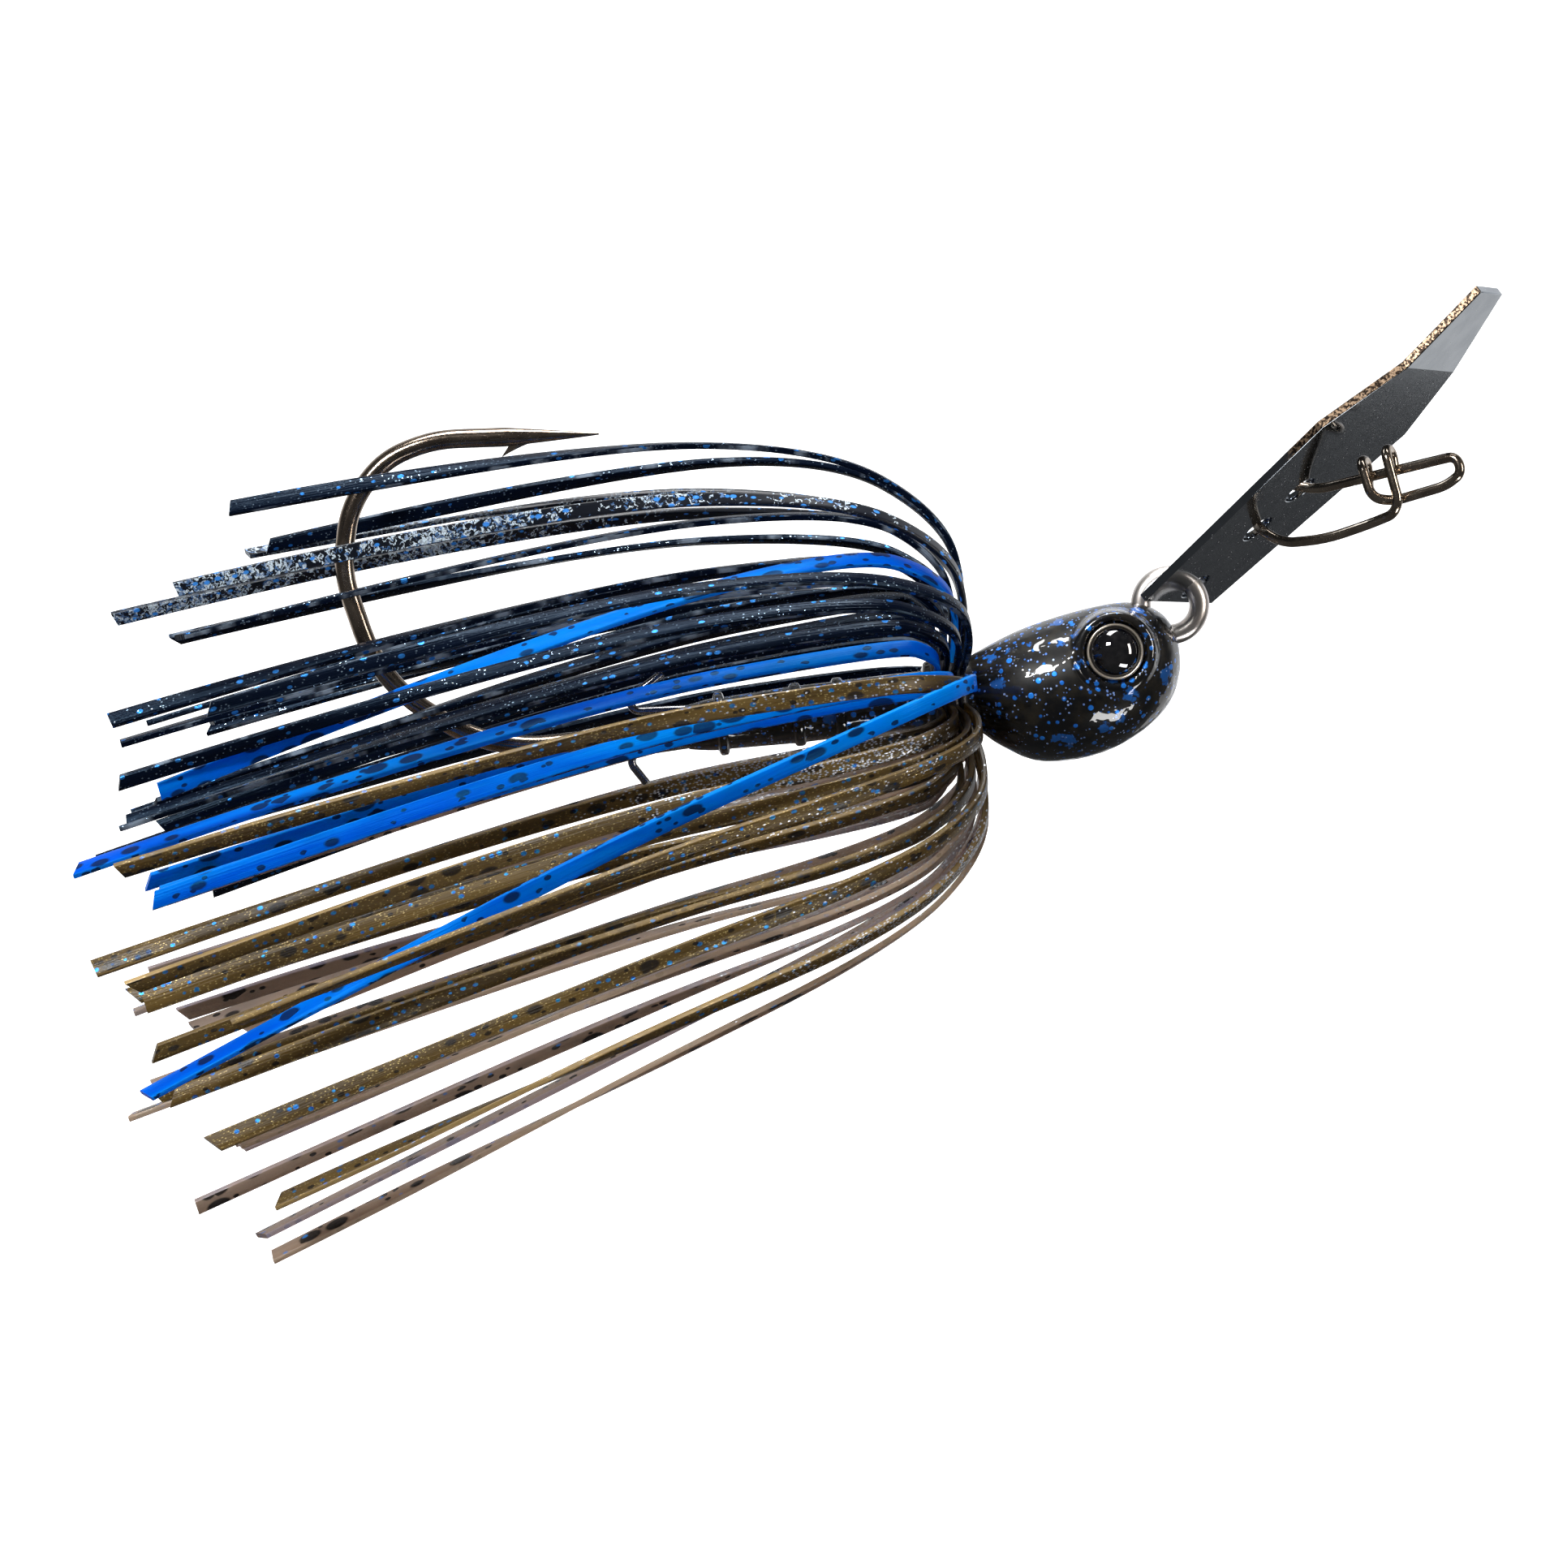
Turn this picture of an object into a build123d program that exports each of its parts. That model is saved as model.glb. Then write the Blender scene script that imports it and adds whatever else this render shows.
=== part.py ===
from build123d import *
import os
from math import atan2, cos, degrees, hypot, radians, sin, sqrt, tan

# A bladed swim jig: a painted lead head cast on a big single hook, a silicone skirt, a
# split-wire trailer keeper, and a bent hexagonal blade that swings on the hook eye and
# carries a duo-lock snap. Millimetres. X runs forward along the hook shank, Z is up on
# the hook-point side, and the origin is on the shank at the rear face of the keeper barrel.

# Hook: one round wire
WIRE_R = 0.685
EYE_CENTRE = (34.85, 4.48)
EYE_RADIUS = 2.06
EYE_WIRE_R = 0.71
HOOK_ROUTE = [(28.9, 0), (-13.8, 0), (-21.0, 5.9), (-22.75, 13.85), (-21.6, 18.4), (-18.9, 21.3), (-15.25, 22.3)]
POINT_START = (-10.2, 21.86)
POINT_LENGTH = 6.65
POINT_TIP_R = 0.06
BARB_LENGTH = 3.0
BARB_HEIGHT = 0.75
BARB_THICKNESS = 0.5

# Lead casting: (x, centre height, half height, half width) of its oval sections
BARREL_R = 2.0
BARREL_END_R = 1.55
BARREL_TAPER = 3.0
BARREL_LENGTH = 17.0
NECK_R = 2.6
HEAD_SECTIONS = [
    (20.4, 0.0, 2.60, 2.60),
    (21.9, -0.35, 3.60, 3.25),
    (24.2, -0.60, 4.65, 4.05),
    (27.0, -0.42, 5.08, 4.55),
    (29.6, -0.02, 5.04, 4.55),
    (31.8, 0.48, 4.58, 4.10),
    (33.4, 0.80, 3.75, 3.35),
    (34.4, 1.00, 2.70, 2.45),
    (34.95, 1.15, 1.45, 1.35),
    (35.1, 1.20, 0.60, 0.60),
]
RIB_X = (2.5, 7.9, 10.9)
RIB_WIDTH = 0.7
RIB_R = 2.25

# Eyes
EYE_X = 30.5
EYE_Z = 1.65
EYE_SEAT_Y = 3.55
EYE_SOCKET_R = 2.15
EYE_RIM_R = 2.45
EYE_RIM_WIRE = 0.28
EYE_RIM_Y = 4.0
EYE_DISC_R = 2.0
EYE_DISC_THICKNESS = 0.3
EYE_LENS_R = 1.78
EYE_LENS_RISE = 0.95

# Trailer keeper: two spring wires let into the rear of the barrel
KEEPER_WIRE_R = 0.29
KEEPER_LOWER = [(2.6, -1.1), (-4.6, -1.3), (-3.2, -3.55)]
KEEPER_UPPER = [(2.6, 1.1), (-5.1, 1.75), (-1.2, 4.05)]
KEEPER_BEND_R = 0.7

# Skirt
BAND_X = 18.7
BAND_HALF = 1.2
BAND_R = 3.3
STRAND_WIDTH = 1.2
STRAND_THICKNESS = 0.42
STRAND_ROOT_R = 3.0
SLOTS = 15
SAG = 0.0025
SIDE_SQUEEZE = 0.15
SQUEEZE_RUN = 30.0
# Each row round the band: (offset along the shank, shoulder height, tail radius, strand length,
# colours by slot)
# k black, n black with silver flake, b blue, o olive, s smoke. Slot 0 is just off the top, and
# the slots go round towards -Y, then under, then up the +Y side.
ROWS = [
    (0.9, 17.0, 26.5, 63.5, "knkbooosssskknk"),
    (0.3, 12.6, 20.0, 63.5, "kbkooossssskkkn"),
    (-0.3, 8.8, 13.5, 63.5, "kkkbooossssbkkk"),
    (-0.9, 5.4, 7.5, 61.5, "kkbbooossssskkk"),
]
# How far each row is turned round the shank, in slots, so that no strand lies over the hook
ROW_TURN = (0.5, 0.6, 0.42, 0.55)
# The two strands of each row beside the hook lean away from it by this many degrees
HOOK_LEAN = (1, 3, 8, 20)
# Strands that part from their neighbours: (row, slot): (shoulder, tail radius, twist in degrees, length)
STRAYS = {
    (0, 0): (16.8, 25.8, 1.0, 60.0),
    (0, 14): (16.4, 22.6, -1.0, 57.5),
    (0, 3): (15.8, 22.5, 38.0, 69.0),
    (1, 1): (13.2, 16.5, 24.0, 63.5),
    (2, 3): (9.4, 13.0, 6.0, 62.0),
    (0, 6): (14.6, 24.0, 5.0, 61.0),
    (0, 7): (14.4, 26.5, -5.0, 62.5),
    (0, 8): (14.0, 28.0, 3.0, 64.0),
}
COLOURS = {"k": "black", "n": "silver", "b": "blue", "o": "olive", "s": "smoke"}
DEPTHS = ("outer", "second", "third", "inner")

# Blade, laid out flat from its ring hole: (distance along, half width)
BLADE_THICKNESS = 0.6
BLADE_BEND_X = 23.2
BLADE_BEND = 9.0
BLADE_OUTLINE = [(-1.75, 5.9), (16.7, 7.6), (23.2, 4.3), (30.1, 2.0)]
BLADE_HANG = 2.25
RING_HOLE_R = 1.2
SNAP_HOLE_R = 1.25
SNAP_HOLES = (6.2, 10.4)
BLADE_RISE = 36.0
BLADE_YAW = 19.5
BLADE_ROLL = -17.0

# Snap wire route in the blade's frame: (along the blade, out of its face, across it)
SNAP_WIRE_R = 0.36
SNAP_ROUTE = [
    (14.1, 3.4, -0.85),
    (15.3, 1.75, -0.85),
    (15.4, 1.9, 0.85),
    (14.4, 4.5, 0.85),
    (15.3, 5.5, 0.0),
    (18.9, 7.2, 0.0),
    (20.4, 7.3, 0.0),
    (20.8, 6.1, 0.0),
    (19.6, 5.45, 0.0),
    (11.2, 1.0, 0.0),
    (9.6, -1.2, 0.0),
    (7.4, -1.7, 0.0),
    (6.15, -0.2, 0.0),
    (6.9, 2.2, 0.0),
    (9.6, 4.15, 0.0),
    (13.0, 5.6, 0.1),
    (15.5, 6.6, 0.85),
    (17.3, 2.5, 0.85),
    (17.2, 2.35, -0.85),
    (16.3, 3.9, -0.85),
]

ARC_SHARE = 0.45


def in_side_plane(points):
    return [Vector(x, 0, z) for x, z in points]


def bent_path(points):
    """Straight runs joined by tangent arcs, each as large as its two runs allow."""
    radii = []
    for before, at, after in zip(points, points[1:], points[2:]):
        run_in = at - before
        run_out = after - at
        turn = radians(run_in.get_angle(run_out))
        radii.append(ARC_SHARE * min(run_in.length, run_out.length) / tan(turn / 2))
    return FilletPolyline(*points, radius=radii)


def round_wire(path, radius):
    section = Plane(origin=path @ 0, z_dir=path % 0) * Circle(radius)
    return sweep(section, path=path)


def hook():
    eye_x, eye_z = EYE_CENTRE
    first_x, first_z = HOOK_ROUTE[0]
    reach = hypot(eye_x - first_x, eye_z - first_z)
    share = (reach - EYE_RADIUS) / reach
    root = (first_x + share * (eye_x - first_x), first_z + share * (eye_z - first_z))
    path = bent_path(in_side_plane([root] + HOOK_ROUTE + [POINT_START]))
    bend = round_wire(path, WIRE_R)
    eye = Plane(origin=(eye_x, 0, eye_z), z_dir=(0, 1, 0)) * Torus(EYE_RADIUS, EYE_WIRE_R)
    start = path @ 1
    along = path % 1
    point = Solid.make_cone(WIRE_R, POINT_TIP_R, POINT_LENGTH, plane=Plane(origin=start, z_dir=along))
    return bend + eye + point + barb(start, along)


def barb(start, along):
    """A cut sliver on the inner side of the point, raised towards the bend."""
    under = Vector(along.Z, 0, -along.X)
    raised = start + under * (WIRE_R + BARB_HEIGHT) - along * 0.3
    rear = start + under * (WIRE_R * 0.5) + along * 0.7
    front = start + under * (WIRE_R * 0.4) + along * BARB_LENGTH
    sliver = Face(Polyline(raised, front, rear, close=True).wire())
    return extrude(sliver, amount=BARB_THICKNESS / 2, dir=(0, 1, 0), both=True)


def casting(hook_solid):
    """Keeper barrel, neck and head in one casting, moulded round the hook."""
    ovals = [
        Plane(origin=(x, 0, z), x_dir=(0, 1, 0), z_dir=(1, 0, 0)) * Ellipse(half_width, half_height)
        for x, z, half_height, half_width in HEAD_SECTIONS
    ]
    body = loft(ovals)
    facing_nose = {"x_dir": (0, 1, 0), "z_dir": (1, 0, 0)}
    taper = Solid.make_cone(BARREL_END_R, BARREL_R, BARREL_TAPER, plane=Plane(origin=(0, 0, 0), **facing_nose))
    body += taper
    head_x = HEAD_SECTIONS[0][0]
    for start, radius in ((BARREL_TAPER, BARREL_R), (BARREL_LENGTH, NECK_R)):
        body += Plane(origin=(start, 0, 0), **facing_nose) * Cylinder(
            radius, head_x - start, align=(Align.CENTER, Align.CENTER, Align.MIN)
        )
    for x in RIB_X:
        body += Plane(origin=(x, 0, 0), **facing_nose) * Cylinder(RIB_R, RIB_WIDTH)
    for side in (-1, 1):
        seat = Plane(origin=(EYE_X, side * EYE_SEAT_Y, EYE_Z), z_dir=(0, side, 0))
        rim = Plane(origin=(EYE_X, side * EYE_RIM_Y, EYE_Z), z_dir=(0, side, 0))
        body += rim * Torus(EYE_RIM_R, EYE_RIM_WIRE)
        body -= seat * Cylinder(EYE_SOCKET_R, 5, align=(Align.CENTER, Align.CENTER, Align.MIN))
    body -= hook_solid
    for route in (KEEPER_LOWER, KEEPER_UPPER):
        body -= keeper_wire(route)
    return body


def keeper_wire(route):
    path = FilletPolyline(*in_side_plane(route), radius=KEEPER_BEND_R)
    return round_wire(path, KEEPER_WIRE_R)


def eye_disc(side):
    seat = Plane(origin=(EYE_X, side * EYE_SEAT_Y, EYE_Z), z_dir=(0, side, 0))
    return seat * Cylinder(EYE_DISC_R, EYE_DISC_THICKNESS, align=(Align.CENTER, Align.CENTER, Align.MIN))


def eye_lens(side):
    """A plano-convex dome on the disc."""
    sphere_r = (EYE_LENS_R**2 + EYE_LENS_RISE**2) / (2 * EYE_LENS_RISE)
    base_y = side * (EYE_SEAT_Y + EYE_DISC_THICKNESS)
    face = Plane(origin=(EYE_X, base_y, EYE_Z), z_dir=(0, side, 0))
    ball = Pos(0, 0, EYE_LENS_RISE - sphere_r) * Sphere(sphere_r)
    keep = Cylinder(EYE_LENS_R + 1, EYE_LENS_RISE, align=(Align.CENTER, Align.CENTER, Align.MIN))
    return face * (ball & keep)


def skirt_band():
    band = Cylinder(BAND_R, 2 * BAND_HALF) - Cylinder(NECK_R, 2 * BAND_HALF)
    return Plane(origin=(BAND_X, 0, 0), x_dir=(0, 1, 0), z_dir=(1, 0, 0)) * band


def vary(seed, swing):
    """A fixed, uneven number between -swing and swing for each seed."""
    return swing * sin(seed * 2.4 + seed * seed * 0.37)


def strand_route(row, slot):
    """Control points of one strand: out of the band, over a shoulder, and back to its cut end."""
    offset, shoulder, tail_r, length, _ = ROWS[row]
    seed = row * SLOTS + slot
    shoulder *= 1 + vary(seed + 0.3, 0.06)
    tail_r *= 1 + vary(seed + 1.7, 0.08)
    twist = vary(seed + 2.9, 6.0)
    if slot in (0, SLOTS - 1):
        twist = HOOK_LEAN[row] if slot == 0 else -HOOK_LEAN[row]
    length += vary(seed + 4.1, 2.8)
    shoulder, tail_r, twist, length = STRAYS.get((row, slot), (shoulder, tail_r, twist, length))
    azimuth = (slot + ROW_TURN[row]) * 360 / SLOTS
    bend_back = 0.45 * shoulder
    bend_r = STRAND_ROOT_R + 0.95 * shoulder
    rest = length - 1.05 * shoulder
    rise = tail_r - bend_r
    run = sqrt(rest**2 - rise**2)
    # (distance behind the band, radius, share of the twist)
    profile = [
        (0, STRAND_ROOT_R, 0),
        (-0.07 * shoulder, STRAND_ROOT_R + 0.26 * shoulder, 0),
        (0.0, STRAND_ROOT_R + 0.6 * shoulder, 0.1),
        (bend_back, bend_r, 0.3),
        (bend_back + 0.42 * run, bend_r + 0.55 * rise, 0.65),
        (bend_back + run, tail_r, 1),
    ]
    points = []
    for behind, radius, share in profile:
        angle = radians(azimuth + twist * share)
        back = max(behind, 0)
        squeeze = 1 - SIDE_SQUEEZE * min(back / SQUEEZE_RUN, 1)
        points.append(
            Vector(
                BAND_X + offset - behind,
                -radius * sin(angle) * squeeze,
                radius * cos(angle) - SAG * back**2,
            )
        )
    return points


def strand(row, slot):
    points = strand_route(row, slot)
    path = bent_path(points)
    tangent = path % 0
    across = Vector(1, 0, 0).cross(tangent)
    section = Plane(origin=path @ 0, x_dir=across, z_dir=tangent) * Rectangle(STRAND_WIDTH, STRAND_THICKNESS)
    return sweep(section, path=path)


def skirt():
    """Strand groups by colour and row, each strand its own solid."""
    groups = {}
    for row, (_, _, _, _, colours) in enumerate(ROWS):
        for slot, letter in enumerate(colours):
            depth = "" if letter in "nb" else "_" + DEPTHS[row]
            name = f"skirt_{COLOURS[letter]}{depth}"
            groups.setdefault(name, []).append(strand(row, slot).solid())
    return {name: Compound(solids) for name, solids in groups.items()}


def blade_plane():
    """Frame of the blade at its ring hole: X along the blade, Z out of its lower face."""
    rise, yaw, roll = radians(BLADE_RISE), radians(BLADE_YAW), radians(BLADE_ROLL)
    along = Vector(cos(yaw) * cos(rise), -sin(yaw), cos(yaw) * sin(rise))
    level = (Vector(0, 1, 0) - along * along.Y).normalized()
    across = level * cos(roll) + along.cross(level) * sin(roll)
    out = across.cross(along)
    hang = Vector(cos(rise), 0, sin(rise)) * BLADE_HANG
    centre = Vector(EYE_CENTRE[0], 0, EYE_CENTRE[1])
    return Plane(origin=centre + hang, x_dir=along, z_dir=out)


def blade(plane):
    half = BLADE_THICKNESS / 2
    bend = radians(BLADE_BEND)
    tip_run = BLADE_OUTLINE[-1][0] - BLADE_BEND_X + 1
    start_x = BLADE_OUTLINE[0][0] - 1
    side = [
        (start_x, half),
        (BLADE_BEND_X + half * tan(bend / 2), half),
        (BLADE_BEND_X + tip_run * cos(bend) + half * sin(bend), -tip_run * sin(bend) + half * cos(bend)),
        (BLADE_BEND_X + tip_run * cos(bend) - half * sin(bend), -tip_run * sin(bend) - half * cos(bend)),
        (BLADE_BEND_X - half * tan(bend / 2), -half),
        (start_x, -half),
    ]
    strip = Plane.XZ * make_face(Polyline(*side, close=True))
    strip = extrude(strip, amount=10, both=True)
    edge = [(x, y) for x, y in BLADE_OUTLINE] + [(x, -y) for x, y in reversed(BLADE_OUTLINE)]
    outline = extrude(make_face(Polyline(*edge, close=True)), amount=5, both=True)
    plate = strip & outline
    plate -= Cylinder(RING_HOLE_R, 2)
    for x in SNAP_HOLES:
        plate -= Pos(x, 0, 0) * Cylinder(SNAP_HOLE_R, 2)
    return plane * plate


def snap(plane):
    points = [plane.from_local_coords(Vector(x, y, z)) for x, z, y in SNAP_ROUTE]
    return round_wire(bent_path(points), SNAP_WIRE_R)


def main():
    os.makedirs("parts", exist_ok=True)
    plane = blade_plane()
    hook_solid = hook()
    nodes = {
        "hook": hook_solid,
        "head_casting": casting(hook_solid),
        "keeper_wire_lower": keeper_wire(KEEPER_LOWER),
        "keeper_wire_upper": keeper_wire(KEEPER_UPPER),
        "right_eye_disc": eye_disc(-1),
        "right_eye_lens": eye_lens(-1),
        "left_eye_disc": eye_disc(1),
        "left_eye_lens": eye_lens(1),
        "skirt_band": skirt_band(),
        "blade": blade(plane),
        "snap": snap(plane),
    }
    nodes.update(skirt())
    for name, shape in nodes.items():
        export_step(shape, f"parts/{name}.step")


main()
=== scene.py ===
import bmesh
import bpy
from math import atan2, ceil, cos, exp, hypot, pi, radians, sin, sqrt, tan
from mathutils import Matrix, Vector


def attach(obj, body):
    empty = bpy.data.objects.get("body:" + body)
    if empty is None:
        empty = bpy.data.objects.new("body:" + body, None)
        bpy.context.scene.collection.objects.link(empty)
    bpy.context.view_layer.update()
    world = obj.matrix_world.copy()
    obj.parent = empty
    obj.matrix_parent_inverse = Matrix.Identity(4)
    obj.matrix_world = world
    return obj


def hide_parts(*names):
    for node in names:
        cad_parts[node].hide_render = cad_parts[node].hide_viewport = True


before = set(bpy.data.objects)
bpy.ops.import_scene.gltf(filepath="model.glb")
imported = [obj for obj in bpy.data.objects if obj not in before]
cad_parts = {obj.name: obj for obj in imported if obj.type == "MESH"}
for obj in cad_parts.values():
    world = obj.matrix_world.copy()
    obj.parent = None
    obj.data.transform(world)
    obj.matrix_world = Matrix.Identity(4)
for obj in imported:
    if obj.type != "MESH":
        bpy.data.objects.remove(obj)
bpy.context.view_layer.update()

# A bladed swim jig. Tables are in millimetres, in the CAD frame: X forward along the hook
# shank, Z up on the hook point's side, Y to the lure's left. Objects are in metres.

MM = 0.001

# Hook
WIRE_R = 0.685
EYE_CENTRE = (34.85, 4.48)
EYE_RADIUS = 2.06
EYE_WIRE_R = 0.71
HOOK_ROUTE = [
    (28.9, 0), (-13.8, 0), (-21.0, 5.9), (-22.75, 13.85), (-21.6, 18.4), (-18.9, 21.3),
    (-15.25, 22.3),
]
POINT_START = (-10.2, 21.86)
POINT_LENGTH = 6.65
POINT_TIP_R = 0.06
POINT_STEPS = 26
RING_STEPS = 96
HOOK_SIDES = 28

# Casting
BARREL_R = 2.0
BARREL_END_R = 1.55
BARREL_TAPER = 3.0
BARREL_LENGTH = 17.0
NECK_R = 2.6
HEAD_SECTIONS = [
    (20.4, 0.0, 2.60, 2.60),
    (21.9, -0.35, 3.60, 3.25),
    (24.2, -0.60, 4.65, 4.05),
    (27.0, -0.42, 5.08, 4.55),
    (29.6, -0.02, 5.04, 4.55),
    (31.8, 0.48, 4.58, 4.10),
    (33.4, 0.80, 3.75, 3.35),
    (34.4, 1.00, 2.70, 2.45),
    (34.95, 1.15, 1.45, 1.35),
    (35.1, 1.20, 0.60, 0.60),
]
RIB_X = (2.5, 7.9, 10.9)
RIB_WIDTH = 0.7
RIB_R = 2.25
EYE_X = 30.5
EYE_Z = 1.65
EYE_SEAT_Y = 3.55
EYE_SOCKET_R = 2.15
EYE_RIM_R = 2.45
EYE_RIM_Y = 4.0
EYE_RIM_RISE = 0.26
EYE_RIM_HALF = 0.34
EYE_RIM_RUN = 0.27
EYE_FADE = 0.75
EYE_DISC_R = 2.0
EYE_DISC_THICKNESS = 0.3
EYE_LENS_R = 1.78
EYE_LENS_RISE = 0.95

# Keeper wires
KEEPER_WIRE_R = 0.29
KEEPER_LOWER = [(2.6, -1.1), (-4.6, -1.3), (-3.2, -3.55)]
KEEPER_UPPER = [(2.6, 1.1), (-5.1, 1.75), (-1.2, 4.05)]
KEEPER_BEND_R = 0.7

# Skirt
BAND_X = 18.7
BAND_HALF = 1.2
BAND_R = 3.3
STRAND_WIDTH = {"k": 1.02, "n": 1.04, "b": 1.26, "o": 1.20, "s": 1.14}
STRAND_THICKNESS = 0.42
STRAND_ROOT_R = 3.0
STRAND_STEP = 0.45
STRAND_UV_SHIFT = (5.3, 17.1)
SLOTS = 15
SAG = 0.0025
SIDE_SQUEEZE = 0.15
SQUEEZE_RUN = 30.0
# (offset along the shank, shoulder height, tail radius, strand length, colours by slot)
ROWS = [
    (0.9, 17.0, 26.5, 63.5, "knkbooosssskknk"),
    (0.3, 12.6, 20.0, 63.5, "kbkooossssskkkn"),
    (-0.3, 8.8, 13.5, 63.5, "kkkbooossssbkkk"),
    (-0.9, 5.4, 7.5, 61.5, "kkbbooossssskkk"),
]
ROW_TURN = (0.5, 0.6, 0.42, 0.55)
HOOK_LEAN = (1, 3, 8, 20)
STRAYS = {
    (0, 0): (16.8, 25.8, 1.0, 60.0),
    (0, 14): (16.4, 22.6, -1.0, 57.5),
    (0, 3): (15.8, 22.5, 38.0, 69.0),
    (1, 1): (13.2, 16.5, 24.0, 63.5),
    (2, 3): (9.4, 13.0, 6.0, 62.0),
    (0, 6): (14.6, 24.0, 5.0, 61.0),
    (0, 7): (14.4, 26.5, -5.0, 62.5),
    (0, 8): (14.0, 28.0, 3.0, 64.0),
}
COLOURS = {"k": "black", "n": "silver", "b": "blue", "o": "olive", "s": "smoke"}
DEPTHS = ("outer", "second", "third", "inner")

# Blade and snap
BLADE_HANG = 2.25
BLADE_RISE = 36.0
BLADE_YAW = 19.5
BLADE_ROLL = -17.0
# painted highlight: the blade's rim faces get a copper tint ahead of this distance along the blade,
# in mm
EDGE_HIGHLIGHT_FROM = 16.5
BLADE_WELD = 0.004
BLADE_FLAT = radians(1.5)
BLADE_SHARP = radians(50)
BLADE_BEVEL = 0.07
SNAP_WIRE_R = 0.36
SNAP_ROUTE = [
    (14.1, 3.4, -0.85),
    (15.3, 1.75, -0.85),
    (15.4, 1.9, 0.85),
    (14.4, 4.5, 0.85),
    (15.3, 5.5, 0.0),
    (18.9, 7.2, 0.0),
    (20.4, 7.3, 0.0),
    (20.8, 6.1, 0.0),
    (19.6, 5.45, 0.0),
    (11.2, 1.0, 0.0),
    (9.6, -1.2, 0.0),
    (7.4, -1.7, 0.0),
    (6.15, -0.2, 0.0),
    (6.9, 2.2, 0.0),
    (9.6, 4.15, 0.0),
    (13.0, 5.6, 0.1),
    (15.5, 6.6, 0.85),
    (17.3, 2.5, 0.85),
    (17.2, 2.35, -0.85),
    (16.3, 3.9, -0.85),
]

# Meshes and materials
ARC_SHARE = 0.45
FLAT_AREA = 0.9e-6
SHARP_EDGE = radians(38)
# painted reflection: pale steel colour for the hook's eye ring
RING_REFLECTION_STEEL = (0.74, 0.69, 0.65)


# ---------------------------------------------------------------- node materials

class Nodes:
    """A material's node tree, built by short calls. A socket given as a value is linked."""

    def __init__(self, name):
        self.material = bpy.data.materials.new(name)
        self.material.use_nodes = True
        self.tree = self.material.node_tree
        self.tree.nodes.clear()

    def add(self, kind, inputs=None, **settings):
        node = self.tree.nodes.new(kind)
        for key, value in settings.items():
            setattr(node, key, value)
        for key, value in (inputs or {}).items():
            if isinstance(value, bpy.types.NodeSocket):
                self.tree.links.new(value, node.inputs[key])
            else:
                node.inputs[key].default_value = value
        return node

    def math(self, operation, a, b=0.0, clamp=False):
        node = self.add("ShaderNodeMath", {0: a, 1: b}, operation=operation, use_clamp=clamp)
        return node.outputs[0]

    def times(self, a, b):
        return self.math("MULTIPLY", a, b)

    def larger(self, a, b):
        return self.math("MAXIMUM", a, b)

    def stored(self, name):
        """A number that the mesh stores for each point."""
        return self.add("ShaderNodeAttribute", attribute_name=name).outputs["Fac"]

    def wandering(self, vector, scale, detail):
        """The same place pushed about by noise, for ragged outlines."""
        push = self.add("ShaderNodeTexNoise", {"Vector": vector, "Scale": scale, "Detail": detail})
        pushed = self.add("ShaderNodeVectorMath", {0: vector, 1: push.outputs["Color"]},
                          operation="ADD")
        return pushed.outputs[0]

    def ramp(self, value, low, high, to_low=0.0, to_high=1.0):
        node = self.add("ShaderNodeMapRange", {
            "Value": value, "From Min": low, "From Max": high, "To Min": to_low, "To Max": to_high,
        }, interpolation_type="SMOOTHSTEP")
        return node.outputs["Result"]

    def mix(self, share, a, b):
        node = self.add("ShaderNodeMix", data_type="RGBA")
        for index, value in ((0, share), (6, a), (7, b)):
            if isinstance(value, bpy.types.NodeSocket):
                self.tree.links.new(value, node.inputs[index])
            elif index == 0:
                node.inputs[0].default_value = value
            else:
                node.inputs[index].default_value = (*value, 1)
        return node.outputs[2]

    def blend(self, share, a, b):
        """Mix of two numbers."""
        node = self.add("ShaderNodeMix", {0: share, 2: a, 3: b}, data_type="FLOAT")
        return node.outputs[0]

    def scaled(self, vector, scale, shift=(0, 0, 0)):
        node = self.add("ShaderNodeMapping", {"Vector": vector, "Scale": scale, "Location": shift})
        return node.outputs[0]

    def noise(self, vector, scale, detail=3.0, rough=0.5):
        node = self.add("ShaderNodeTexNoise", {
            "Vector": vector, "Scale": scale, "Detail": detail, "Roughness": rough,
        })
        return node.outputs["Fac"]

    def cells(self, vector, flat=True):
        """Distance to the nearest scattered point, and three random numbers for that point."""
        node = self.add("ShaderNodeTexVoronoi", {"Vector": vector, "Scale": 1.0},
                        voronoi_dimensions="2D" if flat else "3D")
        split = self.add("ShaderNodeSeparateColor", {"Color": node.outputs["Color"]})
        return node.outputs["Distance"], split.outputs[0], split.outputs[1], split.outputs[2]

    def spots(self, vector, keep, size, flat=True, soft=0.06):
        """Mask of scattered spots: keep is the share of points that show, size their radius."""
        distance, pick, grow, _ = self.cells(vector, flat)
        radius = self.times(self.ramp(grow, 0, 1, 0.55, 1.0), size)
        inside = self.math("SUBTRACT", radius, distance)
        shape = self.ramp(inside, -soft, soft)
        shown = self.math("LESS_THAN", pick, keep)
        return self.times(shape, shown)

    def bump(self, height, strength, distance):
        node = self.add("ShaderNodeBump", {
            "Height": height, "Strength": strength, "Distance": distance,
        })
        return node.outputs[0]

    def output(self, surface):
        self.add("ShaderNodeOutputMaterial", {"Surface": surface})
        return self.material

    def principled(self, **inputs):
        named = {key.replace("_", " "): value for key, value in inputs.items()}
        return self.add("ShaderNodeBsdfPrincipled", named).outputs[0]


def position_mm(nodes):
    """Object coordinates in millimetres."""
    where = nodes.add("ShaderNodeTexCoord").outputs["Object"]
    return nodes.scaled(where, (1000, 1000, 1000))


def colour(r, g, b):
    return (r, g, b, 1.0)


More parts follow.
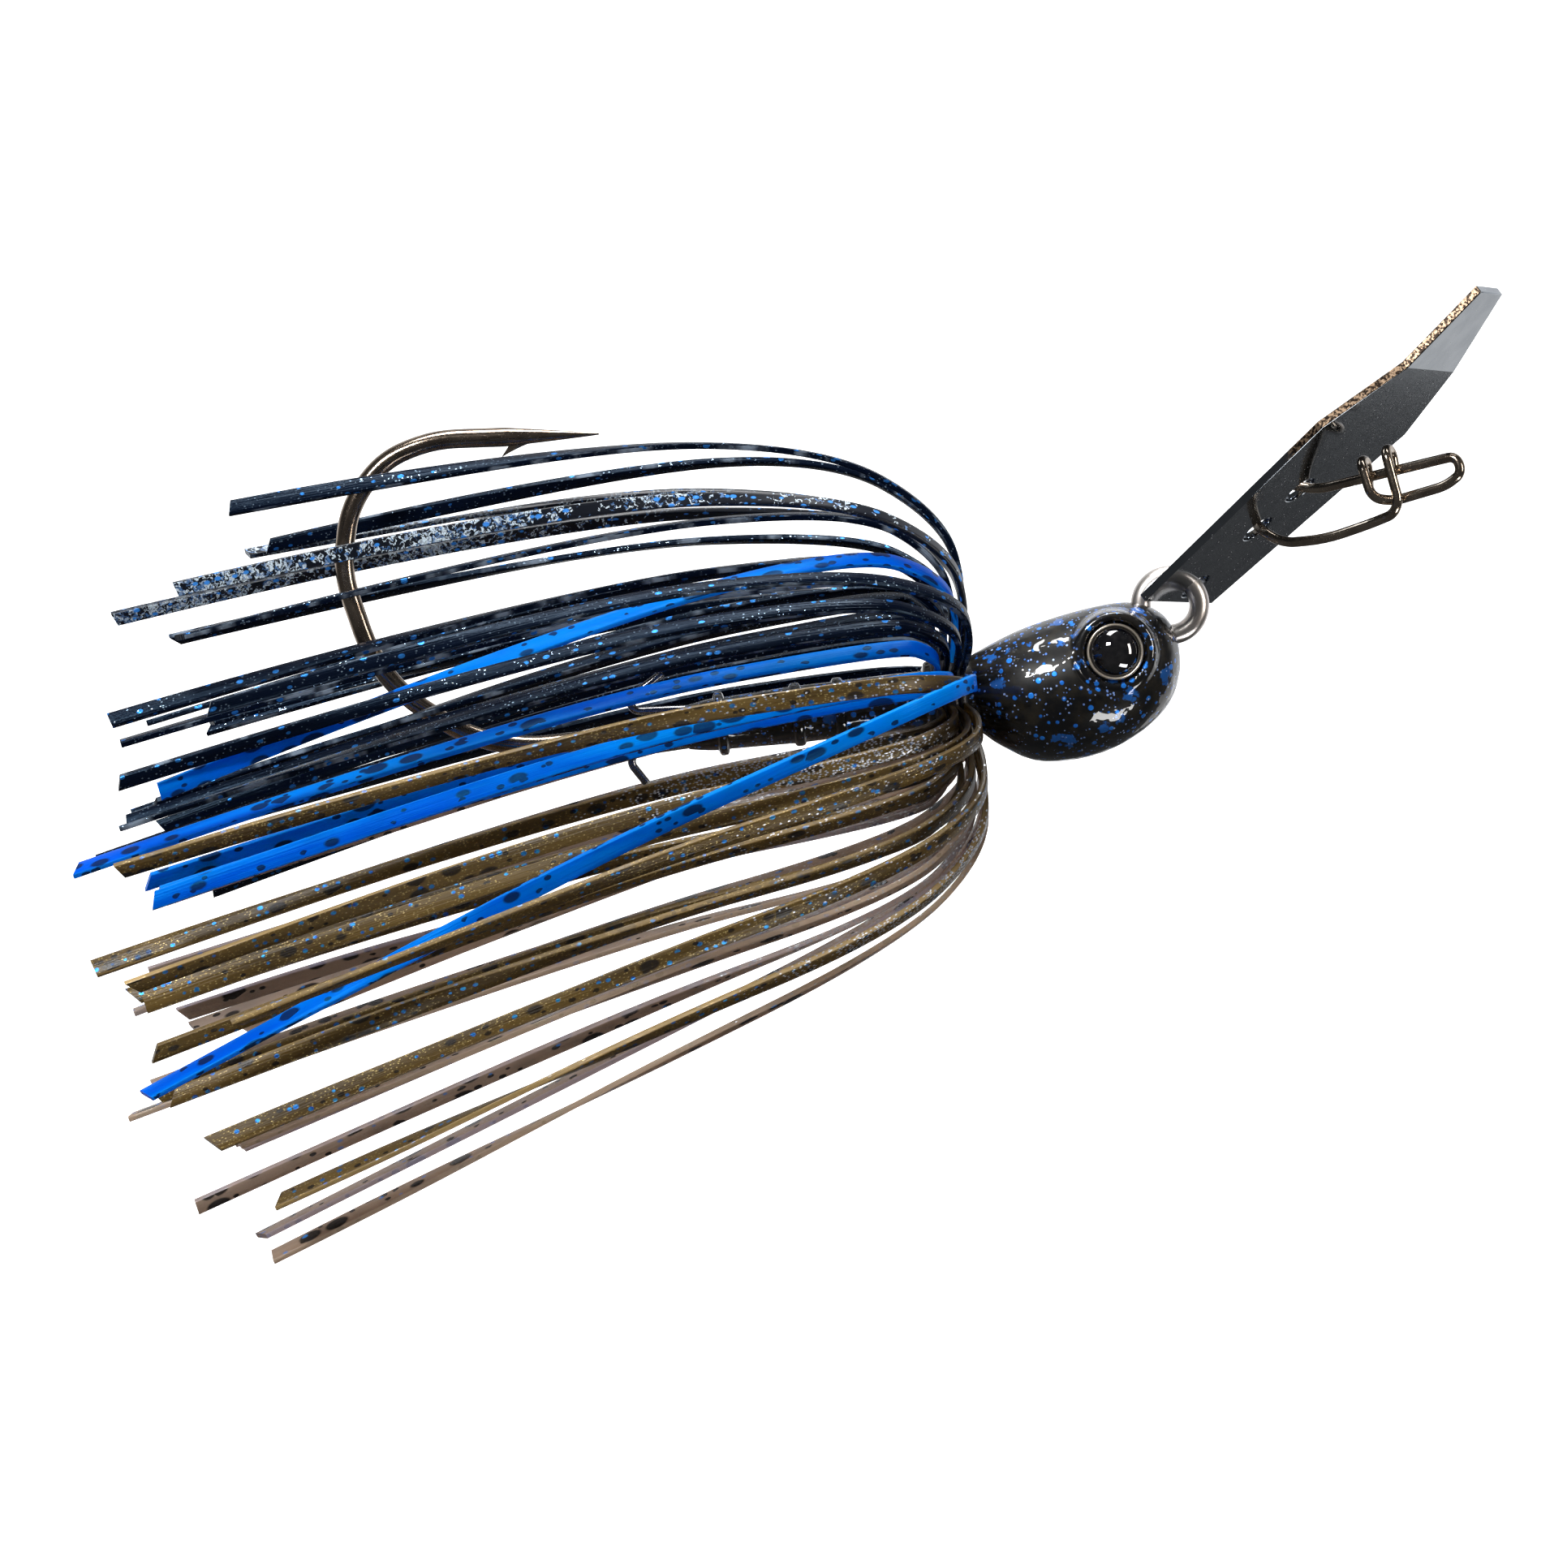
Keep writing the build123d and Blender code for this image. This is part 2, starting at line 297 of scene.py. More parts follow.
def strand_surface(nodes):
    """Millimetres across and along a strand, and nearness to its edges."""
    along = nodes.add("ShaderNodeUVMap", uv_map="strand").outputs[0]
    return along, nodes.stored("edge")


def strand_finish(nodes, base, glints, normal, roughness, through, through_share,
                  gloss=0.5, sheen=(1, 1, 1)):
    """Silicone: a glossy surface with metal glints in it, and some light coming through."""
    surface = nodes.principled(
        Base_Color=base, Metallic=glints, Roughness=roughness, IOR=1.42, Normal=normal,
        Specular_IOR_Level=gloss, Specular_Tint=colour(*sheen),
    )
    lit_through = nodes.add("ShaderNodeBsdfTranslucent", {"Color": through, "Normal": normal})
    mixed = nodes.add("ShaderNodeMixShader", {
        0: through_share, 1: surface, 2: lit_through.outputs[0],
    })
    return nodes.output(mixed.outputs[0])


def streaks(nodes, along, edge, strength):
    """A rounded face with fine moulding lines that run the length of a strand."""
    lines = nodes.noise(nodes.scaled(along, (9.0, 0.10, 1)), 1.0, 2.0)
    grain = nodes.noise(nodes.scaled(along, (14.0, 5.0, 1)), 1.0, 2.0)
    height = nodes.math("ADD", nodes.times(lines, 0.8), nodes.times(grain, 0.2))
    crown = nodes.times(nodes.times(edge, edge), -1.6)
    return nodes.bump(nodes.math("ADD", height, crown), strength, 0.12 * MM)


def black_strand():
    nodes = Nodes("skirt_black")
    along, edge = strand_surface(nodes)
    shade = nodes.noise(nodes.scaled(along, (0.9, 0.12, 1)), 1.0)
    base = nodes.mix(shade, (0.0008, 0.0012, 0.0030), (0.003, 0.007, 0.022))
    dots = nodes.spots(nodes.scaled(along, (1.9, 1.2, 1)), 0.14, 0.28)
    dust = nodes.spots(nodes.scaled(along, (7.0, 5.0, 1), (3, 5, 0)), 0.12, 0.38)
    patch = nodes.ramp(nodes.noise(nodes.scaled(along, (0.4, 0.07, 1), (4, 9, 0)), 1.0), 0.50, 0.62)
    dust = nodes.times(dust, nodes.blend(patch, 0.15, 1.0))
    # painted highlight: a pale blue-grey line along the strand edges, in patches
    lip = nodes.ramp(nodes.noise(nodes.scaled(along, (0.1, 0.35, 1), (6, 1, 0)), 1.0), 0.50, 0.66)
    lip = nodes.times(nodes.times(nodes.ramp(edge, 0.86, 0.98), lip), 0.8)
    base = nodes.mix(lip, base, (0.22, 0.27, 0.34))
    base = nodes.mix(dots, base, (0.03, 0.20, 0.62))
    base = nodes.mix(dust, base, (0.45, 0.62, 0.80))
    glints = nodes.larger(nodes.times(dots, 0.7), dust)
    rough = nodes.blend(shade, 0.17, 0.30)
    return strand_finish(nodes, base, glints, streaks(nodes, along, edge, 0.6), rough,
                         colour(0.01, 0.015, 0.03), 0.04, 0.24, (0.42, 0.68, 1.0))


def silver_strand():
    nodes = Nodes("skirt_silver")
    along, edge = strand_surface(nodes)
    bent = nodes.wandering(along, 3.0, 2.0)
    distance, pick, grow, _ = nodes.cells(nodes.scaled(bent, (6.4, 4.2, 1)))
    run = nodes.noise(nodes.scaled(along, (0.2, 0.09, 1)), 1.0)
    run = nodes.math("ADD", nodes.ramp(run, 0.35, 0.65, -0.22, 0.22), nodes.stored("reach"))
    density = nodes.ramp(run, 0.25, 0.95, 0.06, 0.72)
    lit = nodes.math("LESS_THAN", pick, density)
    level = nodes.times(nodes.ramp(edge, 0.97, 0.86, 0.15), lit)
    level = nodes.times(level, nodes.ramp(distance, 0.72, 0.30))
    silver = nodes.mix(nodes.ramp(grow, 0.10, 0.55), (0.08, 0.20, 0.46), (0.74, 0.88, 1.0))
    base = nodes.mix(level, (0.004, 0.006, 0.012), silver)
    blue = nodes.spots(nodes.scaled(along, (1.7, 1.1, 1), (7, 3, 0)), 0.25, 0.26)
    base = nodes.mix(blue, base, (0.05, 0.30, 0.90))
    glints = nodes.larger(level, blue)
    height = nodes.times(level, grow)
    return strand_finish(nodes, base, nodes.times(glints, 0.15),
                         nodes.bump(height, 0.8, 0.05 * MM), 0.30, colour(0.02, 0.03, 0.05), 0.03)


def black_flecks(nodes, along, keep, size):
    big = nodes.spots(nodes.scaled(along, (0.85, 0.42, 1)), keep, size)
    small = nodes.spots(nodes.scaled(along, (1.9, 1.1, 1), (5, 2, 0)), keep * 0.45, size * 0.95)
    return nodes.larger(big, small)


def painted_root_shade_and_bulge_glints(nodes, along, own, base):
    """Base colour and foil mask: painted shade darkens the strand at the band, then dense foil
    flakes where a strand bulges out, placed there as a painted highlight.
    """
    reach = nodes.stored("reach")
    distance, pick, grow, _ = nodes.cells(nodes.scaled(along, (6.5, 4.0, 1), (9, 2, 0)))
    zone = nodes.times(nodes.ramp(reach, 0.06, 0.14), nodes.ramp(reach, 0.48, 0.28))
    share = nodes.times(zone, nodes.ramp(own, 0.30, 0.65, 0.10, 0.62))
    # foil flakes with a painted highlight: bright flakes placed densely only where strands bulge
    # out
    foil_highlight = nodes.times(nodes.math("LESS_THAN", pick, share), nodes.ramp(distance, 0.5, 0.2))
    # painted shade: strands turn near black towards the band
    painted_root_shade = nodes.times(nodes.ramp(reach, 0.24, 0.05), 0.92)
    base = nodes.mix(painted_root_shade, base, (0.004, 0.0035, 0.0035))
    return nodes.mix(foil_highlight, base, nodes.mix(grow, (0.45, 0.52, 0.62), (0.95, 0.96, 1.0))), foil_highlight


def blue_strand():
    nodes = Nodes("skirt_blue")
    along, edge = strand_surface(nodes)
    run = nodes.noise(nodes.scaled(along, (0.5, 0.05, 1)), 1.0)
    base = nodes.mix(nodes.ramp(run, 0.35, 0.68), (0.0, 0.10, 0.68), (0.0, 0.27, 0.92))
    # painted highlight: edges lightened to bright blue
    painted_rim_highlight = nodes.ramp(edge, 0.80, 0.97)
    base = nodes.mix(nodes.times(painted_rim_highlight, 0.35), base, (0.02, 0.42, 1.0))
    flecks = black_flecks(nodes, along, 0.42, 0.40)
    base = nodes.mix(nodes.times(flecks, 0.93), base, (0.004, 0.012, 0.06))
    share = nodes.blend(flecks, 0.26, 0.0)
    return strand_finish(nodes, base, 0.0, streaks(nodes, along, edge, 0.35), 0.24,
                         colour(0.0, 0.36, 1.0), share, 0.30, (0.02, 0.50, 1.0))


def olive_strand():
    nodes = Nodes("skirt_olive")
    along, edge = strand_surface(nodes)
    own = nodes.stored("own")
    run = nodes.noise(nodes.scaled(along, (0.6, 0.08, 1)), 1.0)
    tone = nodes.mix(own, (0.052, 0.033, 0.010), (0.110, 0.074, 0.030))
    base = nodes.mix(nodes.ramp(run, 0.30, 0.70), tone, (0.165, 0.105, 0.030))
    distance, pick, grow, third = nodes.cells(nodes.scaled(along, (9.0, 5.0, 1)))
    gold = nodes.times(nodes.math("LESS_THAN", pick, 0.30), nodes.ramp(distance, 0.45, 0.1))
    base = nodes.mix(gold, base, nodes.mix(grow, (0.20, 0.14, 0.04), (0.80, 0.62, 0.26)))
    cyan = nodes.spots(nodes.scaled(along, (1.8, 1.3, 1), (2, 8, 0)), 0.30, 0.27)
    base = nodes.mix(cyan, base, nodes.mix(third, (0.01, 0.10, 0.55), (0.03, 0.38, 0.72)))
    flecks = black_flecks(nodes, along, 0.34, 0.32)
    base = nodes.mix(nodes.times(flecks, 0.9), base, (0.008, 0.006, 0.005))
    # painted highlight: a thin gold line along the edges, stronger on some strands
    painted_rim_highlight = nodes.times(nodes.ramp(edge, 0.86, 0.98), nodes.ramp(own, 0.2, 0.8, 0.25, 0.8))
    base = nodes.mix(painted_rim_highlight, base, (0.58, 0.40, 0.17))
    base, foil_highlight = painted_root_shade_and_bulge_glints(nodes, along, own, base)
    glints = nodes.times(nodes.larger(nodes.larger(gold, cyan), foil_highlight), 0.6)
    share = nodes.blend(flecks, 0.22, 0.0)
    return strand_finish(nodes, base, glints, streaks(nodes, along, edge, 0.45), 0.33,
                         colour(0.40, 0.29, 0.12), share)


def smoke_strand():
    nodes = Nodes("skirt_smoke")
    along, edge = strand_surface(nodes)
    own = nodes.stored("own")
    run = nodes.noise(nodes.scaled(along, (0.7, 0.06, 1)), 1.0)
    tone = nodes.mix(own, (0.230, 0.155, 0.098), (0.330, 0.262, 0.220))
    base = nodes.mix(nodes.ramp(run, 0.30, 0.70), tone, (0.40, 0.315, 0.250))
    distance, pick, _, _ = nodes.cells(nodes.scaled(along, (8.0, 5.0, 1)))
    dust = nodes.times(nodes.math("LESS_THAN", pick, 0.20), nodes.ramp(distance, 0.42, 0.1))
    patch = nodes.ramp(nodes.noise(nodes.scaled(along, (0.3, 0.06, 1), (1, 7, 0)), 1.0), 0.46, 0.60)
    dust = nodes.times(dust, nodes.blend(patch, 0.1, 1.0))
    base = nodes.mix(dust, base, (0.75, 0.74, 0.74))
    flecks = black_flecks(nodes, along, 0.36, 0.38)
    base = nodes.mix(nodes.times(flecks, 0.95), base, (0.012, 0.009, 0.008))
    cyan = nodes.spots(nodes.scaled(along, (1.6, 0.9, 1), (8, 4, 0)), 0.12, 0.22)
    base = nodes.mix(cyan, base, (0.03, 0.22, 0.66))
    # painted sheen along the edges, pale brown or violet-grey by strand
    painted_rim_highlight = nodes.times(nodes.ramp(edge, 0.84, 0.97), 0.7)
    base = nodes.mix(painted_rim_highlight, base, nodes.mix(own, (0.62, 0.48, 0.34), (0.50, 0.46, 0.60)))
    base, foil_highlight = painted_root_shade_and_bulge_glints(nodes, along, own, base)
    # the dust mask now also holds the foil flakes painted as a highlight at the bulge
    dust = nodes.larger(dust, foil_highlight)
    share = nodes.blend(flecks, 0.34, 0.0)
    glints = nodes.times(dust, 0.5)
    return strand_finish(nodes, base, glints, streaks(nodes, along, edge, 0.45), 0.25,
                         colour(0.62, 0.50, 0.42), share)


def head_paint():
    """Black enamel with blue metal flakes, dots and larger patches, under a thick clear coat."""
    nodes = Nodes("head_paint")
    where = position_mm(nodes)
    wander = nodes.noise(where, 0.9, 4.0)
    warm = nodes.ramp(wander, 0.40, 0.72)
    base = nodes.mix(warm, (0.0012, 0.0014, 0.0020), (0.016, 0.013, 0.008))
    dot_grid = nodes.scaled(where, (1.7, 1.7, 1.7))
    dots = nodes.spots(dot_grid, 0.38, 0.36, flat=False)
    fine = nodes.spots(nodes.scaled(where, (4.6, 4.6, 4.6), (3, 1, 6)), 0.20, 0.42, flat=False)
    bent = nodes.scaled(nodes.wandering(where, 2.4, 3.0), (0.85, 0.85, 0.85), (1, 4, 2))
    patches = nodes.spots(bent, 0.24, 0.44, flat=False)
    _, _, grow, third = nodes.cells(dot_grid, False)
    flake = nodes.mix(grow, (0.004, 0.075, 0.42), (0.02, 0.26, 0.95))
    base = nodes.mix(nodes.times(patches, 0.85), base, (0.010, 0.125, 0.48))
    base = nodes.mix(dots, base, flake)
    base = nodes.mix(fine, base, nodes.mix(third, (0.05, 0.16, 0.55), (0.45, 0.60, 0.95)))
    metal = nodes.larger(nodes.larger(dots, fine), nodes.times(patches, 0.7))
    uneven = nodes.noise(where, 0.55, 2.0)
    normal = nodes.bump(uneven, 0.20, 0.8 * MM)
    flake_normal = nodes.bump(nodes.times(metal, grow), 0.5, 0.06 * MM)
    return nodes.output(nodes.principled(
        Base_Color=base, Metallic=nodes.times(metal, 0.45), Roughness=0.38,
        Normal=flake_normal, Specular_IOR_Level=0.2,
        Coat_Weight=1.0, Coat_Roughness=0.025, Coat_IOR=1.55, Coat_Normal=normal,
    ))


def painted_edge_highlight(nodes, where, base, rough, fine):
    """Colour, roughness and relief with a painted copper-toned highlight laid over the blade's rim.
    """
    painted_rim_highlight = nodes.ramp(nodes.stored("painted_rim_highlight"), 0.78, 0.85)
    painted_edge_speckle = nodes.noise(where, 5.0, 3.0)
    # painted highlight: copper speckle on the rim faces
    copper_highlight = nodes.mix(nodes.ramp(painted_edge_speckle, 0.44, 0.60), (0.025, 0.018, 0.014), (0.40, 0.28, 0.185))
    return (nodes.mix(painted_rim_highlight, base, copper_highlight), nodes.blend(painted_rim_highlight, rough, 0.40),
            nodes.blend(painted_rim_highlight, fine, nodes.times(painted_edge_speckle, 4.0)))


def plated(name, tint, bright, roughness, scratch=0.12, speckle=0.0, reflection_from=None, painted_edge_speckle=False):
    """Polished plating with faint draw lines and tone drift.

    If asked it also has bright specks, a pale steel end ahead of an x that is painted reflection,
    or a copper highlight painted on its rim.
    """
    nodes = Nodes(name)
    where = position_mm(nodes)
    drift = nodes.noise(where, 0.6, 3.0)
    base = nodes.mix(nodes.ramp(drift, 0.3, 0.7), tint, bright)
    fine = nodes.noise(where, 14.0, 3.0)
    scuffs = nodes.times(nodes.ramp(fine, 0.45, 0.75), roughness)
    rough = nodes.math("ADD", roughness, scuffs)
    if reflection_from is not None:
        ahead = nodes.add("ShaderNodeSeparateXYZ", {0: where}).outputs["X"]
        # painted reflection: the wire ahead of this x, the eye ring, turns pale steel
        ring_reflection = nodes.ramp(ahead, reflection_from, reflection_from + 1.5)
        base = nodes.mix(ring_reflection, base, RING_REFLECTION_STEEL)
        rough = nodes.blend(ring_reflection, rough, 0.34)
    if speckle:
        grid = nodes.scaled(where, (4.0, 4.0, 4.0))
        specks = nodes.spots(grid, speckle, 0.18, flat=False, soft=0.03)
        base = nodes.mix(specks, base, (0.80, 0.82, 0.85))
        rough = nodes.blend(specks, rough, 0.5)
    if painted_edge_speckle:
        base, rough, fine = painted_edge_highlight(nodes, where, base, rough, fine)
    return nodes.output(nodes.principled(
        Base_Color=base, Metallic=1.0, Roughness=rough, Normal=nodes.bump(fine, scratch, 0.02 * MM),
    ))


def rubber():
    nodes = Nodes("band_rubber")
    where = position_mm(nodes)
    grain = nodes.noise(where, 7.0, 4.0)
    base = nodes.mix(grain, (0.004, 0.004, 0.006), (0.016, 0.016, 0.022))
    rough = nodes.blend(grain, 0.30, 0.52)
    return nodes.output(nodes.principled(
        Base_Color=base, Roughness=rough, Normal=nodes.bump(grain, 0.4, 0.06 * MM),
    ))


def lens_plastic():
    """A dark glossy dome with a faint smoky centre."""
    nodes = Nodes("eye_lens")
    where = position_mm(nodes)
    haze = nodes.noise(where, 1.4, 2.0)
    base = nodes.mix(nodes.ramp(haze, 0.4, 0.8), (0.002, 0.002, 0.003), (0.014, 0.013, 0.014))
    return nodes.output(nodes.principled(
        Base_Color=base, Roughness=0.05, IOR=1.5,
        Coat_Weight=1.0, Coat_Roughness=0.01, Coat_IOR=1.6,
    ))


def disc_plastic():
    nodes = Nodes("eye_disc")
    where = position_mm(nodes)
    grain = nodes.noise(where, 8.0, 3.0)
    base = nodes.mix(grain, (0.80, 0.68, 0.52), (0.98, 0.90, 0.78))
    return nodes.output(nodes.principled(
        Base_Color=base, Metallic=0.85, Roughness=nodes.blend(grain, 0.22, 0.40), Coat_Weight=0.8,
        Coat_Roughness=0.03,
    ))


MATERIALS = {
    "skirt_black": black_strand(),
    "skirt_silver": silver_strand(),
    "skirt_blue": blue_strand(),
    "skirt_olive": olive_strand(),
    "skirt_smoke": smoke_strand(),
    "head_paint": head_paint(),
    # the hook's eye ring ahead of x = 31 mm gets the painted reflection
    "hook_wire": plated("hook_wire", (0.26, 0.205, 0.16), (0.46, 0.37, 0.29), 0.14,
                        reflection_from=31.0),
    "keeper_wire": plated("keeper_wire", (0.20, 0.20, 0.21), (0.36, 0.36, 0.37), 0.16, 0.25),
    "snap_wire": plated("snap_wire", (0.31, 0.25, 0.195), (0.54, 0.45, 0.355), 0.14),
    "blade_metal": plated("blade_metal", (0.25, 0.275, 0.305), (0.31, 0.335, 0.365), 0.07, 0.03,
                          0.24, painted_edge_speckle=True),
    "band_rubber": rubber(),
    "eye_lens": lens_plastic(),
    "eye_disc": disc_plastic(),
}


# ---------------------------------------------------------------- mesh building

def piece(name, verts, faces, finish, body, node, layers=None):
    """One closed mesh that stands for a CAD node and rides on its body. Vertices are in mm.

    layers holds a number a vertex under each name, and UV pairs in one list under "strand".
    """
    mesh = bpy.data.meshes.new(name)
    mesh.from_pydata([Vector(v) * MM for v in verts], [], faces)
    mesh.validate()
    for key, values in (layers or {}).items():
        if key == "strand":
            continue
        layer = mesh.attributes.new(key, "FLOAT", "POINT")
        layer.data.foreach_set("value", values)
    if layers and "strand" in layers:
        uv = mesh.uv_layers.new(name="strand")
        uv.data.foreach_set("uv", layers["strand"])
    return finish_piece(name, mesh, finish, body, node)


def finish_piece(name, mesh, finish, body, node):
    work = bmesh.new()
    work.from_mesh(mesh)
    bmesh.ops.recalc_face_normals(work, faces=work.faces)
    work.to_mesh(mesh)
    work.free()
    mesh.set_sharp_from_angle(angle=SHARP_EDGE)
    for polygon in mesh.polygons:
        polygon.use_smooth = polygon.area < FLAT_AREA
    obj = bpy.data.objects.new(name, mesh)
    bpy.context.scene.collection.objects.link(obj)
    mesh.materials.append(MATERIALS[finish])
    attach(obj, body)
    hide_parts(node)
    return obj


def rounded(points, radius=None, step=0.25):
    """Straight runs joined by true tangent arcs; radius None means as large as the runs allow."""
    points = [Vector(p) for p in points]
    path = [points[0]]
    for before, at, after in zip(points, points[1:], points[2:]):
        run_in = at - before
        run_out = after - at
        turn = run_in.angle(run_out)
        reach = ARC_SHARE * min(run_in.length, run_out.length)
        if radius is not None:
            reach = min(reach, radius * tan(turn / 2))
        start = at - run_in.normalized() * reach
        end = at + run_out.normalized() * reach
        weight = cos(turn / 2)
        count = max(4, ceil(turn / radians(5)))
        for k in range(count + 1):
            t = k / count
            a, b, c = (1 - t) ** 2, 2 * t * (1 - t) * weight, t * t
            path.append((start * a + at * b + end * c) / (a + b + c))
    path.append(points[-1])
    return evened(path, step)


def evened(path, step):
    """The same line with points at about even steps, and its ends kept."""
    lengths = [0.0]
    for a, b in zip(path, path[1:]):
        lengths.append(lengths[-1] + (b - a).length)
    total = lengths[-1]
    count = max(4, ceil(total / step))
    even = []
    k = 0
    for i in range(count + 1):
        want = total * i / count
        while k < len(path) - 2 and lengths[k + 1] < want:
            k += 1
        span = lengths[k + 1] - lengths[k]
        share = 0 if span == 0 else (want - lengths[k]) / span
        even.append(path[k].lerp(path[k + 1], min(max(share, 0), 1)))
    return even


def spline(points, per_segment):
    """A quadratic B-spline through its end control points."""
    points = [Vector(p) for p in points]
    joints = [points[0]] + [(a + b) / 2 for a, b in zip(points[1:], points[2:-1])] + [points[-1]]
    path = [points[0]]
    for start, control, end in zip(joints, points[1:-1], joints[1:]):
        for k in range(1, per_segment + 1):
            t = k / per_segment
            path.append(start * (1 - t) ** 2 + control * (2 * t * (1 - t)) + end * t * t)
    return path


def tangents(path):
    last = len(path) - 1
    return [(path[min(i + 1, last)] - path[max(i - 1, 0)]).normalized() for i in range(len(path))]


def tube(path, radii, sides=20, start_normal=(0, 1, 0), caps=True):
    """Round section carried along a path without twisting; radii has one number a point."""
    ways = tangents(path)
    normal = Vector(start_normal)
    verts = []
    for at, way, radius in zip(path, ways, radii):
        normal = (normal - way * normal.dot(way)).normalized()
        other = way.cross(normal)
        for k in range(sides):
            angle = 2 * pi * k / sides
            verts.append(at + (normal * cos(angle) + other * sin(angle)) * radius)
    return verts, grid_faces(len(path), sides, caps)


def grid_faces(rings, sides, caps=True):
    faces = []
    for i in range(rings - 1):
        for k in range(sides):
            n = (k + 1) % sides
            faces.append((i * sides + k, i * sides + n, (i + 1) * sides + n, (i + 1) * sides + k))
    if caps:
        faces.append(tuple(range(sides - 1, -1, -1)))
        faces.append(tuple(range((rings - 1) * sides, rings * sides)))
    return faces


def join(*parts):
    """Several (verts, faces) in one."""
    verts = []
    faces = []
    for more_verts, more_faces in parts:
        base = len(verts)
        verts.extend(more_verts)
        faces.extend(tuple(i + base for i in face) for face in more_faces)
    return verts, faces


def softened_ends(path, radius, bevel):
    """Path and radii of a wire whose two cut ends have a small rounded edge."""
    points = list(path)
    first = (points[1] - points[0]).normalized()
    last = (points[-1] - points[-2]).normalized()
    lead = [(points[0] + first * (bevel * (1 - cos(a))), radius - bevel * (1 - sin(a)))
            for a in (0.0, pi / 6, pi / 3, pi / 2)]
    tail = [(points[-1] - last * (bevel * (1 - cos(a))), radius - bevel * (1 - sin(a)))
            for a in (pi / 2, pi / 3, pi / 6, 0.0)]
    middle = [(p, radius) for p in points[1:-1]]
    both = lead + middle + tail
    return [p for p, _ in both], [r for _, r in both]


def side_plane(points):
    return [Vector((x, 0, z)) for x, z in points]


def make_hook():
    eye = Vector((EYE_CENTRE[0], 0, EYE_CENTRE[1]))
    first = Vector((HOOK_ROUTE[0][0], 0, HOOK_ROUTE[0][1]))
    root = first.lerp(eye, ((eye - first).length - EYE_RADIUS) / (eye - first).length)
    bend = rounded([root] + side_plane(HOOK_ROUTE + [POINT_START]))
    start = bend[-1]
    along = (bend[-1] - bend[-2]).normalized()
    radii = [WIRE_R] * len(bend)
    for k in range(1, POINT_STEPS + 1):
        t = k / POINT_STEPS
        bend.append(start + along * (POINT_LENGTH * t))
        radii.append(WIRE_R * (1 - t) ** 0.92 + POINT_TIP_R * t)
    wire = tube(bend, radii, HOOK_SIDES)
    ring_path = [eye + Vector((cos(a), 0, sin(a))) * EYE_RADIUS
                 for a in (2 * pi * k / RING_STEPS for k in range(RING_STEPS))]
    verts = []
    for at in ring_path:
        out = (at - eye).normalized()
        for k in range(HOOK_SIDES):
            angle = 2 * pi * k / HOOK_SIDES
            verts.append(at + (out * cos(angle) + Vector((0, 1, 0)) * sin(angle)) * EYE_WIRE_R)
    faces = []
    for i in range(RING_STEPS):
        for k in range(HOOK_SIDES):
            a, b = i * HOOK_SIDES, ((i + 1) % RING_STEPS) * HOOK_SIDES
            n = (k + 1) % HOOK_SIDES
            faces.append((a + k, a + n, b + n, b + k))
    verts, faces = join(wire, (verts, faces), barb(start, along))
    piece("hook", verts, faces, "hook_wire", "jig_body", "hook")


def barb(start, along):
    """The cut sliver on the inner side of the point: a thin curved wedge raised at the rear."""
    under = Vector((along.z, 0, -along.x))
    rows = 9
    verts = []
    for k in range(rows):
        t = k / (rows - 1)
        lift = (1 - t) ** 1.5
        along_at = -0.3 + 3.0 * t
        top = start + along * along_at + under * (WIRE_R * 0.42 + (WIRE_R * 0.58 + 0.75) * lift)
        base_along = 0.75 + 2.2 * t
        base = start + along * max(along_at + 0.15, base_along - 0.2) + under * (WIRE_R * 0.30)
        half = 0.25 - 0.13 * lift
        for at, width in ((top, half * 0.55), (base, half)):
            verts.append(at + Vector((0, width, 0)))
            verts.append(at - Vector((0, width, 0)))
    faces = []
    for k in range(rows - 1):
        a, b = 4 * k, 4 * (k + 1)
        faces += [(a, b, b + 1, a + 1), (a + 1, b + 1, b + 3, a + 3),
                  (a + 3, b + 3, b + 2, a + 2), (a + 2, b + 2, b, a)]
    faces += [(0, 1, 3, 2), (4 * rows - 4, 4 * rows - 2, 4 * rows - 1, 4 * rows - 3)]
    return verts, faces


def smooth_sections(sections, step):
    """Catmull-Rom through the head's sections, at even steps along x where the form allows."""
    rows = [sections[0]] + sections + [sections[-1]]
    out = []
    for a, b, c, d in zip(rows, rows[1:], rows[2:], rows[3:]):
        span = hypot(c[0] - b[0], c[2] - b[2])
        count = max(3, ceil(span / step))
        for k in range(count):
            t = k / count
            out.append(tuple(
                0.5 * (2 * b[i] + (c[i] - a[i]) * t
                       + (2 * a[i] - 5 * b[i] + 4 * c[i] - d[i]) * t * t
                       + (3 * b[i] - a[i] - 3 * c[i] + d[i]) * t ** 3)
                for i in range(4)
            ))
    out.append(sections[-1])
    return out


def eased(t):
    t = min(max(t, 0.0), 1.0)
    return t * t * (3 - 2 * t)


